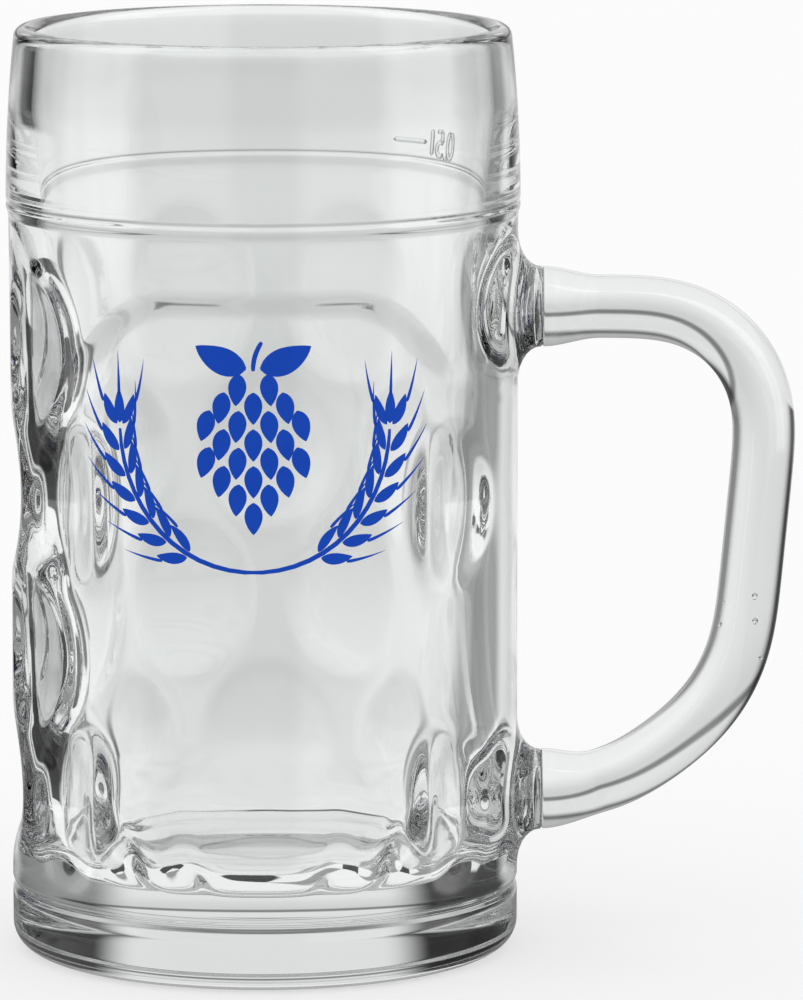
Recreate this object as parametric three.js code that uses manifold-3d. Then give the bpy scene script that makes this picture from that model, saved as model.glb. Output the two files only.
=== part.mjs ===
// Half-litre beer mug in clear pressed glass: a dimpled body and a handle welded to it at two seams.
// Millimetres, +Z up. The origin is on the table, under the middle of the bowl.
// +X points to the handle and -Y to the smooth panel that carries the print.

import * as THREE from "three";
import { mergeVertices } from "three/addons/utils/BufferGeometryUtils.js";
import Module from "manifold-3d";

// Body, outside
const HEIGHT = 160;
const BODY_RADIUS = 43.8;
const BASE_CORNER = 4.6;
const BAND_HEIGHT = 11.5;
const GROOVE_DEPTH = 0.5;
const GROOVE_WIDTH = 2.4;

// Plain rim zone, which stands proud of the dimpled zone at a small step
const RIM_ZONE_HEIGHT = 32.5;
const STEP_RISE = 2;
const STEP_PROUD = 0.4;
const RIM_TAPER = 1.5;
const RIM_WALL = 3.7;

// Bowl, inside
const BODY_WALL = 6.7;
const BORE_DRAFT = 1;
const FLOOR_THICKNESS = 13;
const FLOOR_CORNER = 9;
const NECK_WALL = 4.5;
const NECK_ABOVE_STEP = 5;
const NECK_BELOW_STEP = 3.5;

// Dimples: staggered rings of round hollows pressed into the outside
const ROW_COUNT = 4;
const DIMPLES_PER_ROW = 8;
const DIMPLE_DIAMETER = 27;
const DIMPLE_HOLLOW = 1.15;
const DIMPLE_CROWN = 20;
const DIMPLE_WALL = 5;
const LAND_OVER_BAND = 3.3;
const LAND_UNDER_STEP = 7.4;

// Smooth panel for the print, and the plain strip that the handle stands on
const PANEL_WIDTH = 58;
const PANEL_OVER_BAND = 9.5;
const PANEL_UNDER_STEP = 10.5;
const PANEL_CORNER = 15;
const PANEL_RECESS = 0.5;
const PANEL_LAND = 2.4;
const STRIP_HALF_ANGLE = 30;

// Weld bosses on the body, which flare from the seam into the wall
const BOSS_LENGTH = 4.2;
const BOSS_FLARE = 7;
const BOSS_SINK = 1;
const SEAM_THICKNESS = 13.8;
const SEAM_WIDTH = 17.6;
const UPPER_SEAM_UNDER_STEP = 16;
const LOWER_SEAM_OVER_BAND = 15.5;

// Handle, whose middle line has corners at these reaches from the seams
const GRIP_THICKNESS = 10.8;
const GRIP_WIDTH = 15.6;
const ROOT_FLARE_LENGTH = 10;
const SHOULDER_REACH = 40.6;
const ELBOW_REACH = 34.2;
const ELBOW_RISE = 17;
const LOWER_ARM_REACH = 11.5;
const SHOULDER_BEND = 20;
const ELBOW_BEND = 30;
const LOWER_ARM_BEND = 25;

// Fineness of the facets
const RING_SEGMENTS = 60;
const ARC_STEPS = 3;
const DIMPLE_SEGMENTS = 16;
const DIMPLE_RINGS = 20;
const OVAL_SIDES = 24;
const HANDLE_STEP = 3;
const WELD_DISTANCE = 1e-4;

// Levels, radii and places that follow from the sizes above
const STEP_HEIGHT = HEIGHT - RIM_ZONE_HEIGHT;
const STEP_RADIUS = BODY_RADIUS + STEP_PROUD;
const RIM_RADIUS = STEP_RADIUS - RIM_TAPER;
const BORE_RADIUS = BODY_RADIUS - BODY_WALL;
const FLOOR_RADIUS = BORE_RADIUS - BORE_DRAFT;
const NECK_RADIUS = STEP_RADIUS - NECK_WALL;
const PANEL_BOTTOM = BAND_HEIGHT + PANEL_OVER_BAND;
const PANEL_TOP = STEP_HEIGHT - PANEL_UNDER_STEP;
const BOTTOM_ROW = BAND_HEIGHT + LAND_OVER_BAND + DIMPLE_DIAMETER / 2;
const TOP_ROW = STEP_HEIGHT - LAND_UNDER_STEP - DIMPLE_DIAMETER / 2;
const SEAM_X = BODY_RADIUS + BOSS_LENGTH;
const UPPER_SEAM = STEP_HEIGHT - UPPER_SEAM_UNDER_STEP;
const LOWER_SEAM = BAND_HEIGHT + LOWER_SEAM_OVER_BAND;

const HANDLE_AZIMUTH = 90;
const wasm = await Module();
wasm.setup();

// Booleans

function solidOf(geometry) {
  const bare = geometry.clone();
  for (const name of Object.keys(bare.attributes)) {
    if (name !== "position") bare.deleteAttribute(name);
  }
  const merged = mergeVertices(bare, WELD_DISTANCE);
  const index = Array.from(merged.index.array);
  const kept = [];
  for (let i = 0; i < index.length; i += 3) {
    const [a, b, c] = index.slice(i, i + 3);
    if (a !== b && b !== c && c !== a) kept.push(a, b, c);
  }
  return new wasm.Manifold(new wasm.Mesh({
    numProp: 3,
    vertProperties: new Float32Array(merged.attributes.position.array),
    triVerts: new Uint32Array(kept),
  }));
}

function geometryOf(solid) {
  const mesh = solid.getMesh();
  const geometry = new THREE.BufferGeometry();
  geometry.setAttribute("position", new THREE.BufferAttribute(new Float32Array(mesh.vertProperties), 3));
  geometry.setIndex(new THREE.BufferAttribute(new Uint32Array(mesh.triVerts), 1));
  geometry.computeVertexNormals();
  return geometry;
}

function joined(solids) {
  return solids.reduce((sum, solid) => sum.add(solid));
}

// Revolve about Z of a profile whose x is the radius and whose y is the height
function revolved(profile) {
  const lathe = new THREE.LatheGeometry(profile.getPoints(ARC_STEPS), RING_SEGMENTS);
  return solidOf(lathe.rotateX(Math.PI / 2));
}

// Wall of the mug: up the outside, over the fire-polished lip and down the inside to the floor
function mugProfile() {
  const lip = RIM_WALL / 2;
  const neckTop = STEP_HEIGHT + NECK_ABOVE_STEP;
  const neckBottom = STEP_HEIGHT - NECK_BELOW_STEP;
  const neckMiddle = (neckTop + neckBottom) / 2;
  const cornerTop = FLOOR_THICKNESS + FLOOR_CORNER;
  const profile = new THREE.Path();
  profile.moveTo(0, 0);
  profile.lineTo(BODY_RADIUS - BASE_CORNER, 0);
  profile.absarc(BODY_RADIUS - BASE_CORNER, BASE_CORNER, BASE_CORNER, -Math.PI / 2, 0, false);
  profile.lineTo(BODY_RADIUS, BAND_HEIGHT - GROOVE_WIDTH / 2);
  profile.lineTo(BODY_RADIUS - GROOVE_DEPTH, BAND_HEIGHT);
  profile.lineTo(BODY_RADIUS, BAND_HEIGHT + GROOVE_WIDTH / 2);
  profile.lineTo(BODY_RADIUS, STEP_HEIGHT);
  profile.lineTo(STEP_RADIUS, STEP_HEIGHT + STEP_RISE);
  profile.quadraticCurveTo(STEP_RADIUS, (STEP_HEIGHT + HEIGHT) / 2, RIM_RADIUS, HEIGHT - lip);
  profile.absarc(RIM_RADIUS - lip, HEIGHT - lip, lip, 0, Math.PI, false);
  profile.lineTo(NECK_RADIUS, neckTop);
  profile.bezierCurveTo(NECK_RADIUS, neckMiddle, BORE_RADIUS, neckMiddle, BORE_RADIUS, neckBottom);
  profile.lineTo(FLOOR_RADIUS, cornerTop);
  profile.absarc(FLOOR_RADIUS - FLOOR_CORNER, cornerTop, FLOOR_CORNER, 0, -Math.PI / 2, true);
  profile.lineTo(0, FLOOR_THICKNESS);
  return profile;
}

// Plain round bar about Z, as tall as the mug, which trims a cut or a bulge to a radius
function roundBar(radius) {
  const profile = new THREE.Path();
  profile.moveTo(0, 0);
  profile.lineTo(radius, 0);
  profile.lineTo(radius, HEIGHT);
  profile.lineTo(0, HEIGHT);
  return revolved(profile);
}

// Upright slab through the front wall, whose rounded outline is the panel's, grown by a margin
function panelSlab(margin) {
  const corner = PANEL_CORNER + margin;
  const side = PANEL_WIDTH / 2 + margin - corner;
  const low = PANEL_BOTTOM - margin + corner;
  const high = PANEL_TOP + margin - corner;
  const outline = new THREE.Shape();
  outline.absarc(side, low, corner, -Math.PI / 2, 0, false);
  outline.absarc(side, high, corner, 0, Math.PI / 2, false);
  outline.absarc(-side, high, corner, Math.PI / 2, Math.PI, false);
  outline.absarc(-side, low, corner, Math.PI, 1.5 * Math.PI, false);
  const slab = new THREE.ExtrudeGeometry(outline, {
    depth: 2 * BODY_RADIUS,
    bevelEnabled: false,
    curveSegments: ARC_STEPS,
  });
  return solidOf(slab.rotateX(Math.PI / 2));
}

// Dimples

// Azimuth is counted in degrees from the panel's middle and grows towards the handle.
// The panel and the strip under the handle stay plain.
function dimplePlaces() {
  const panelEdge = THREE.MathUtils.radToDeg(Math.asin(PANEL_WIDTH / 2 / BODY_RADIUS));
  const places = [];
  for (let row = 0; row < ROW_COUNT; row += 1) {
    const height = THREE.MathUtils.lerp(BOTTOM_ROW, TOP_ROW, row / (ROW_COUNT - 1));
    for (let place = 0; place < DIMPLES_PER_ROW; place += 1) {
      const turn = ((place + (row % 2) / 2) * 360) / DIMPLES_PER_ROW;
      const azimuth = THREE.MathUtils.euclideanModulo(turn + 180, 360) - 180;
      const onPanel = Math.abs(azimuth) < panelEdge;
      const onStrip = Math.abs(azimuth - HANDLE_AZIMUTH) < STRIP_HALF_ANGLE;
      if (!onPanel && !onStrip) places.push({ azimuth, height });
    }
  }
  return places;
}

// Ellipsoid that cuts a round outline of the dimple's diameter into the round wall and lies hollow
// behind the chord of its edges. Grown by the wall behind a dimple, it gives the bulge on the inside.
function dimpleBlank({ azimuth, height }, grow) {
  const half = DIMPLE_DIAMETER / 2;
  const edgeX = BODY_RADIUS * Math.cos(half / BODY_RADIUS);
  const edgeY = BODY_RADIUS * Math.sin(half / BODY_RADIUS);
  const middle = edgeX - DIMPLE_HOLLOW + DIMPLE_CROWN;
  const tall = half / Math.sqrt(1 - ((middle - BODY_RADIUS) / DIMPLE_CROWN) ** 2);
  const wide = edgeY / Math.sqrt(1 - ((middle - edgeX) / DIMPLE_CROWN) ** 2);
  const blank = new THREE.SphereGeometry(1, DIMPLE_SEGMENTS, DIMPLE_RINGS);
  blank.rotateZ(Math.PI / 2);
  blank.scale(DIMPLE_CROWN + grow, wide + grow, tall + grow);
  blank.translate(middle, 0, height);
  blank.rotateZ(THREE.MathUtils.degToRad(azimuth - HANDLE_AZIMUTH));
  return solidOf(blank);
}

// Weld bosses

// Flare about the X axis, a concave quarter round from the seam's oval out to the wall.
// Its foot is drawn back with the round wall, so it meets the wall all the way round.
function bossBlank(height) {
  const seamRadius = SEAM_THICKNESS / 2;
  const footRadius = seamRadius + BOSS_FLARE;
  const foot = BODY_RADIUS - BOSS_SINK;
  const profile = new THREE.Path();
  profile.moveTo(0, foot);
  profile.lineTo(footRadius, foot);
  profile.absellipse(footRadius, SEAM_X, BOSS_FLARE, SEAM_X - foot, -Math.PI / 2, -Math.PI, true);
  profile.lineTo(0, SEAM_X);
  const boss = new THREE.LatheGeometry(profile.getPoints(ARC_STEPS), OVAL_SIDES);
  boss.rotateZ(-Math.PI / 2);
  boss.scale(1, SEAM_WIDTH / SEAM_THICKNESS, 1);
  const points = boss.attributes.position;
  for (let i = 0; i < points.count; i += 1) {
    const fallAway = BODY_RADIUS - Math.sqrt(BODY_RADIUS ** 2 - points.getY(i) ** 2);
    const towardsFoot = (SEAM_X - points.getX(i)) / (SEAM_X - foot);
    points.setX(i, points.getX(i) - fallAway * towardsFoot);
  }
  boss.translate(0, 0, height);
  return solidOf(boss);
}

function mugBody() {
  const places = dimplePlaces();
  const panelLand = panelSlab(PANEL_LAND);
  const hollows = joined(places.map((place) => dimpleBlank(place, 0))).subtract(panelLand);
  const bulges = joined(places.map((place) => dimpleBlank(place, DIMPLE_WALL)))
    .intersect(roundBar(BORE_RADIUS + DIMPLE_WALL / 2))
    .subtract(panelLand);
  const recess = panelSlab(0).subtract(roundBar(BODY_RADIUS - PANEL_RECESS));
  const body = revolved(mugProfile())
    .add(bulges)
    .add(bossBlank(UPPER_SEAM))
    .add(bossBlank(LOWER_SEAM))
    .subtract(hollows)
    .subtract(recess);
  return geometryOf(body);
}

// Handle

// Middle line in the XZ plane: straight runs between the corners, rounded by tangent arcs.
// A bend takes at most the whole run to a seam, and half of a run that it shares with another bend.
function handlePath() {
  const corners = [
    { at: new THREE.Vector2(SEAM_X, UPPER_SEAM), bend: 0 },
    { at: new THREE.Vector2(SEAM_X + SHOULDER_REACH, UPPER_SEAM), bend: SHOULDER_BEND },
    { at: new THREE.Vector2(SEAM_X + ELBOW_REACH, LOWER_SEAM + ELBOW_RISE), bend: ELBOW_BEND },
    { at: new THREE.Vector2(SEAM_X + LOWER_ARM_REACH, LOWER_SEAM), bend: LOWER_ARM_BEND },
    { at: new THREE.Vector2(SEAM_X, LOWER_SEAM), bend: 0 },
  ];
  const path = new THREE.Path();
  path.moveTo(SEAM_X, UPPER_SEAM);
  for (let i = 1; i < corners.length - 1; i += 1) {
    const corner = corners[i].at;
    const before = corners[i - 1].at.clone().sub(corner);
    const after = corners[i + 1].at.clone().sub(corner);
    const roomBefore = before.length() * (corners[i - 1].bend ? 0.5 : 1);
    const roomAfter = after.length() * (corners[i + 1].bend ? 0.5 : 1);
    before.normalize();
    after.normalize();
    const half = Math.acos(before.dot(after)) / 2;
    const reach = Math.min(corners[i].bend / Math.tan(half), roomBefore, roomAfter);
    const bend = reach * Math.tan(half);
    const start = corner.clone().addScaledVector(before, reach);
    const end = corner.clone().addScaledVector(after, reach);
    const centre = corner.clone().addScaledVector(before.add(after).normalize(), bend / Math.sin(half));
    path.lineTo(start.x, start.y);
    path.absarc(centre.x, centre.y, bend, start.sub(centre).angle(), end.sub(centre).angle(), true);
  }
  path.lineTo(SEAM_X, LOWER_SEAM);
  return path;
}

// Oval rings carried along the middle line, which swell to the seam's own oval near each seam
function handle() {
  const path = handlePath();
  const length = path.getLength();
  const steps = Math.round(length / HANDLE_STEP);
  const positions = [];
  for (let step = 0; step <= steps; step += 1) {
    const share = step / steps;
    const middle = path.getPointAt(share);
    const along = path.getTangentAt(share);
    const fromSeam = Math.min(share, 1 - share) * length;
    const swell = 1 - THREE.MathUtils.smoothstep(fromSeam, 0, ROOT_FLARE_LENGTH);
    const thick = THREE.MathUtils.lerp(GRIP_THICKNESS, SEAM_THICKNESS, swell) / 2;
    const wide = THREE.MathUtils.lerp(GRIP_WIDTH, SEAM_WIDTH, swell) / 2;
    for (let side = 0; side < OVAL_SIDES; side += 1) {
      const turn = (2 * Math.PI * side) / OVAL_SIDES;
      const out = thick * Math.cos(turn);
      positions.push(middle.x - along.y * out, wide * Math.sin(turn), middle.y + along.x * out);
    }
  }
  const faces = [];
  for (let step = 0; step < steps; step += 1) {
    for (let side = 0; side < OVAL_SIDES; side += 1) {
      const a = step * OVAL_SIDES + side;
      const b = step * OVAL_SIDES + ((side + 1) % OVAL_SIDES);
      faces.push(a, a + OVAL_SIDES, b, b, a + OVAL_SIDES, b + OVAL_SIDES);
    }
  }
  const last = steps * OVAL_SIDES;
  for (let side = 1; side < OVAL_SIDES - 1; side += 1) {
    faces.push(0, side, side + 1, last, last + side + 1, last + side);
  }
  const geometry = new THREE.BufferGeometry();
  geometry.setAttribute("position", new THREE.Float32BufferAttribute(positions, 3));
  geometry.setIndex(faces);
  geometry.computeVertexNormals();
  return geometry;
}

function piece(name, geometry) {
  const clearGlass = new THREE.MeshStandardMaterial({
    color: 0xdde3df,
    roughness: 0.04,
    metalness: 0,
    transparent: true,
    opacity: 0.35,
  });
  const mesh = new THREE.Mesh(geometry, clearGlass);
  mesh.name = name;
  return mesh;
}

const mug = new THREE.Group();
mug.add(piece("mug_body", mugBody()));
mug.add(piece("handle", handle()));

export default mug;
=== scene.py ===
"""Half-litre beer mug in clear glass: a dimpled body, a welded handle, a fill mark and an enamel print.

Shapes are worked out in millimetres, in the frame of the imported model: +Z up from the table, +X towards the
handle, -Y towards the smooth panel. Azimuth is counted in degrees from the panel's middle towards the handle.
"""

from __future__ import annotations

import logging
import math
from dataclasses import dataclass, field
from enum import Enum, IntEnum

import bpy
import numpy as np
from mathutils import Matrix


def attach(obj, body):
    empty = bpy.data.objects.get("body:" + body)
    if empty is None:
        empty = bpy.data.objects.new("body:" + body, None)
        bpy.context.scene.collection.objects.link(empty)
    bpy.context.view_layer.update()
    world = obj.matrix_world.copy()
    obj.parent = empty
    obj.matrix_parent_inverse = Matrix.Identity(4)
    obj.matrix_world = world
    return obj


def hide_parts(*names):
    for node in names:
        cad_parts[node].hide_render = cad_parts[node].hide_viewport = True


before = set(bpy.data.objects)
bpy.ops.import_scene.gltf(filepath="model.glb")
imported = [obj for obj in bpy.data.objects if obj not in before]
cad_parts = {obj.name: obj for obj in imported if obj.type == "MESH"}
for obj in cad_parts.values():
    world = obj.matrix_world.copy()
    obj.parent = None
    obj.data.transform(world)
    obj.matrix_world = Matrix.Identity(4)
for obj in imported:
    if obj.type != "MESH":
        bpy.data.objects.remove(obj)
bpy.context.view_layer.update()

LOG = logging.getLogger("beer_mug")
MM = 0.001

Span = tuple[float, float]
Colour = tuple[float, float, float, float]
WHITE: Colour = (1.0, 1.0, 1.0, 1.0)


class Zone(IntEnum):
    """Which of a glass piece's material slots a face wears."""

    GLASS = 0
    WELD = 1


class Seam(Enum):
    """The two welds of the handle, by height above the table."""

    UPPER = 111.5
    LOWER = 27.0


def share_of(low: float, high: float, value: np.ndarray) -> np.ndarray:
    """How far each value has come on the way from low to high, held between 0 and 1."""
    return np.clip((value - low) / (high - low), 0.0, 1.0)


def smooth(low: float, high: float, value: np.ndarray) -> np.ndarray:
    """Rise from 0 at low to 1 at high, level at both ends: 3 t squared less 2 t cubed.

    Args:
        low: Where the rise starts. It may lie above high, and then the result falls.
        high: Where the rise ends.
        value: Values to map.

    Returns:
        The mapped values, between 0 and 1.
    """
    share = share_of(low, high, value)
    return share * share * (3.0 - 2.0 * share)


def quarter_round(share: np.ndarray) -> np.ndarray:
    """Rise of a quarter circle, level at 0 and upright at 1: 1 less the root of 1 less the square."""
    return 1.0 - np.sqrt(1.0 - share**2)


def onward(start: float, end: float, count: int) -> np.ndarray:
    """Even steps from start to end, without the start itself."""
    return np.linspace(start, end, count + 1)[1:]


def full_turn(count: int) -> np.ndarray:
    """Angles of a full turn in even steps, in radians."""
    return np.linspace(0.0, 2.0 * np.pi, count, endpoint=False)


def around(radius: np.ndarray, angle: np.ndarray, height: np.ndarray) -> np.ndarray:
    """Points at a radius from the mug's axis, an angle from +X in radians and a height."""
    return np.stack([radius * np.cos(angle), radius * np.sin(angle), height], axis=-1)


def unit(rows: np.ndarray) -> np.ndarray:
    """Each row made a vector of length one."""
    return rows / np.linalg.norm(rows, axis=1, keepdims=True)


def travelled(line: np.ndarray) -> np.ndarray:
    """Distance along a line of points, from its first point to each of them."""
    return np.concatenate([[0.0], np.cumsum(np.linalg.norm(np.diff(line, axis=0), axis=1))])


def read_off(place: np.ndarray, length: np.ndarray, rows: np.ndarray) -> np.ndarray:
    """Reads the values of a line at places along it.

    Args:
        place: Distances along the line.
        length: Distance of each of the line's points.
        rows: The values at the line's points, one row for each.

    Returns:
        One row for each place.
    """
    return np.stack([np.interp(place, length, column) for column in rows.T], axis=-1)


@dataclass
class Draft:
    """A mesh in the making: rings of points joined into closed skins, in millimetres."""

    points: list[np.ndarray] = field(default_factory=list)
    faces: list[np.ndarray] = field(default_factory=list)
    zones: list[np.ndarray] = field(default_factory=list)
    count: int = 0

    def add_skin(self, rings: np.ndarray, zones: np.ndarray | None = None) -> None:
        """Adds a closed skin: rings in order, each closed on itself, with a fan over each end.

        Args:
            rings: Points by ring, place on the ring and axis. Seen from outside, a ring runs to the right
                when the rings run up.
            zones: The zone of each quad by ring and place, or None for glass all over. A fan takes the
                zone of the ring of quads beside it.
        """
        ring_count, places = rings.shape[:2]
        if zones is None:
            zones = np.full((ring_count - 1, places), Zone.GLASS)
        index = self.count + np.arange(ring_count * places).reshape(ring_count, places)
        right = np.roll(index, -1, axis=1)
        quads = np.stack([index[:-1], right[:-1], right[1:], index[1:]], axis=-1).reshape(-1, 4)
        first = self.count + ring_count * places
        low_fan = np.stack([np.full(places, first), right[0], index[0]], axis=-1)
        high_fan = np.stack([np.full(places, first + 1), index[-1], right[-1]], axis=-1)
        self.points += [rings.reshape(-1, 3), rings[[0, -1]].mean(axis=1)]
        self.faces += [quads, low_fan, high_fan]
        self.zones += [zones.reshape(-1), zones[0], zones[-1]]
        self.count = first + 2

    def to_object(
        self, name: str, materials: list[bpy.types.Material], rounded: bool = True
    ) -> bpy.types.Object:
        """Turns the draft into an object at the origin, in metres.

        Args:
            name: The piece's name.
            materials: The material of each zone.
            rounded: Whether the faces are shaded as one smooth surface.

        Returns:
            The linked object.
        """
        mesh = bpy.data.meshes.new(name)
        corners = [corner for block in self.faces for corner in block.tolist()]
        mesh.from_pydata(np.concatenate(self.points) * MM, [], corners)
        mesh.polygons.foreach_set("material_index", np.concatenate(self.zones).astype(np.int32))
        mesh.polygons.foreach_set("use_smooth", np.full(len(corners), rounded))
        for material in materials:
            mesh.materials.append(material)
        mesh.validate()
        made = bpy.data.objects.new(name, mesh)
        bpy.context.scene.collection.objects.link(made)
        return made


class MixKind(Enum):
    """What a mix node mixes: its data type, and the places of its two inputs and of its output."""

    NUMBER = ("FLOAT", 2, 3, 0)
    COLOUR = ("RGBA", 6, 7, 2)


@dataclass
class NodeBench:
    """Adds and links shader nodes in one node tree. An input takes a plain value, or an output to link."""

    tree: bpy.types.NodeTree

    def add(self, kind: str, values: dict[str, object] | None = None, **settings: object) -> bpy.types.Node:
        """Adds a node.

        Args:
            kind: Blender's name of the node type.
            values: What each input takes, by the input's name.
            settings: Properties of the node itself.

        Returns:
            The node.
        """
        node = self.tree.nodes.new(kind)
        for name, value in settings.items():
            setattr(node, name, value)
        for name, value in (values or {}).items():
            self.feed(node.inputs[name], value)
        return node

    def feed(self, socket: bpy.types.NodeSocket, value: object) -> None:
        """Links an output to an input, or sets the input's own value.

        Args:
            socket: The input.
            value: The output or the plain value.
        """
        if isinstance(value, bpy.types.NodeSocket):
            self.tree.links.new(value, socket)
        else:
            socket.default_value = value

    def math(self, operation: str, *values: object) -> bpy.types.NodeSocket:
        """Adds a math node.

        Args:
            operation: Blender's name of the operation.
            values: What the inputs take, in order.

        Returns:
            The node's output.
        """
        node = self.add("ShaderNodeMath", operation=operation)
        for socket, value in zip(node.inputs, values):
            self.feed(socket, value)
        return node.outputs[0]

    def rise(
        self, value: object, low: float, high: float, start: object, end: object
    ) -> bpy.types.NodeSocket:
        """Adds a smooth map of a value from one range onto another.

        Args:
            value: What is mapped.
            low: The value that gives start.
            high: The value that gives end.
            start: The first end of the new range.
            end: The other end of it.

        Returns:
            The node's output.
        """
        node = self.add("ShaderNodeMapRange", interpolation_type="SMOOTHSTEP")
        names = ("Value", "From Min", "From Max", "To Min", "To Max")
        for name, amount in zip(names, (value, low, high, start, end)):
            self.feed(node.inputs[name], amount)
        return node.outputs[0]

    def mix(
        self, factor: object, start: object, end: object, kind: MixKind = MixKind.NUMBER
    ) -> bpy.types.NodeSocket:
        """Adds a mix of two numbers or colours.

        Args:
            factor: How much of the end there is.
            start: The number or colour at nought.
            end: The number or colour at one.
            kind: Which of the two they are.

        Returns:
            The node's output.
        """
        data_type, first, second, result = kind.value
        node = self.add("ShaderNodeMix", data_type=data_type)
        for place, value in ((0, factor), (first, start), (second, end)):
            self.feed(node.inputs[place], value)
        return node.outputs[result]


def new_material(name: str) -> tuple[bpy.types.Material, NodeBench]:
    """Makes an empty node material.

    Args:
        name: The material's name.

    Returns:
        The material and a bench for its tree.
    """
    material = bpy.data.materials.new(name)
    material.use_nodes = True
    material.node_tree.nodes.clear()
    return material, NodeBench(material.node_tree)


@dataclass(frozen=True)
class GlassFinish:
    """Clear fire-polished glass, with the faint ripple that a mould leaves."""

    tint: Colour = (0.93, 0.945, 0.94, 1.0)
    refraction: float = 1.52
    ripple_scale: float = 70.0
    ripple_detail: float = 1.0
    ripple_height: float = 0.00004
    ripple_strength: float = 0.25

    def material(self) -> bpy.types.Material:
        """Makes the glass: a clear body that bends light, with a noise bump for the ripple.

        Returns:
            The material.
        """
        material, bench = new_material("clear_glass")
        ripple = bench.add("ShaderNodeTexNoise", {
            "Vector": bench.add("ShaderNodeTexCoord").outputs["Object"],
            "Scale": self.ripple_scale,
            "Detail": self.ripple_detail,
        })
        bump = bench.add("ShaderNodeBump", {
            "Height": ripple.outputs[0],
            "Strength": self.ripple_strength,
            "Distance": self.ripple_height,
        })
        glass = bench.add("ShaderNodeBsdfPrincipled", {
            "Base Color": self.tint,
            "Roughness": 0.0,
            "IOR": self.refraction,
            "Transmission Weight": 1.0,
            "Normal": bump.outputs["Normal"],
        })
        bench.add("ShaderNodeOutputMaterial", {"Surface": glass.outputs[0]})
        return material


@dataclass(frozen=True)
class WeldFinish:
    """The inside of a weld, where two pieces of glass have run into one and nothing shows."""

    colour: Colour = WHITE

    def material(self) -> bpy.types.Material:
        """Makes the weld's clear surface, which light passes unbent.

        Returns:
            The material.
        """
        material, bench = new_material("glass_weld")
        clear = bench.add("ShaderNodeBsdfTransparent", {"Color": self.colour})
        bench.add("ShaderNodeOutputMaterial", {"Surface": clear.outputs[0]})
        return material


@dataclass(frozen=True)
class EnamelFinish:
    """Blue enamel screened onto the glass and fired: even colour, satin gloss, a little orange peel."""

    deep: Colour = (0.0030, 0.050, 0.405, 1.0)
    light: Colour = (0.0042, 0.062, 0.465, 1.0)
    cloud_scale: float = 190.0
    cloud_detail: float = 3.0
    cloud_edge: Span = (0.2, 0.8)
    roughness: Span = (0.42, 0.54)
    specular: float = 0.12
    peel_scale: float = 2600.0
    peel_detail: float = 1.0
    peel_height: float = 0.000012
    peel_strength: float = 0.4

    def material(self) -> bpy.types.Material:
        """Makes the enamel: one noise clouds its colour and gloss, and a finer one is its orange peel.

        Returns:
            The material.
        """
        material, bench = new_material("print_enamel")
        place = bench.add("ShaderNodeTexCoord").outputs["Object"]
        cloud, peel = (
            bench.add("ShaderNodeTexNoise", {"Vector": place, "Scale": scale, "Detail": detail}).outputs[0]
            for scale, detail in (
                (self.cloud_scale, self.cloud_detail),
                (self.peel_scale, self.peel_detail),
            )
        )
        bump = bench.add("ShaderNodeBump", {
            "Height": peel,
            "Strength": self.peel_strength,
            "Distance": self.peel_height,
        })
        enamel = bench.add("ShaderNodeBsdfPrincipled", {
            "Base Color": bench.mix(cloud, self.deep, self.light, MixKind.COLOUR),
            "Roughness": bench.rise(cloud, *self.cloud_edge, *self.roughness),
            "Specular IOR Level": self.specular,
            "Normal": bump.outputs["Normal"],
        })
        bench.add("ShaderNodeOutputMaterial", {"Surface": enamel.outputs[0]})
        return material


@dataclass(frozen=True)
class FloorFinish:
    """Plain pale floor, partly lit and partly of its own white, so that its shadow stays soft."""

    colour: Colour = (0.98, 0.98, 0.98, 1.0)
    own_share: float = 0.6

    def material(self) -> bpy.types.Material:
        """Makes the floor's surface.

        Returns:
            The material.
        """
        material, bench = new_material("pale_floor")
        lit = bench.add("ShaderNodeBsdfDiffuse", {"Color": self.colour})
        white = bench.add("ShaderNodeEmission", {"Color": WHITE, "Strength": 1.0})
        both = bench.add("ShaderNodeMixShader", {"Fac": self.own_share})
        bench.feed(both.inputs[1], lit.outputs[0])
        bench.feed(both.inputs[2], white.outputs[0])
        bench.add("ShaderNodeOutputMaterial", {"Surface": both.outputs[0]})
        return material


@dataclass(frozen=True)
class RingCounts:
    """How many rings of points each stretch of the body's section has, up the outside and down the inside."""

    base: int = 5
    standing: int = 4
    bottom_edge: int = 9
    band: int = 4
    groove: int = 8
    between_welds: int = 48
    under_step: int = 3
    step: int = 7
    ring_line: int = 8
    rim: int = 11
    lip: int = 14
    inner_rim: int = 8
    neck: int = 30
    inner_wall: int = 45
    floor_corner: int = 14
    floor: int = 6


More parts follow.
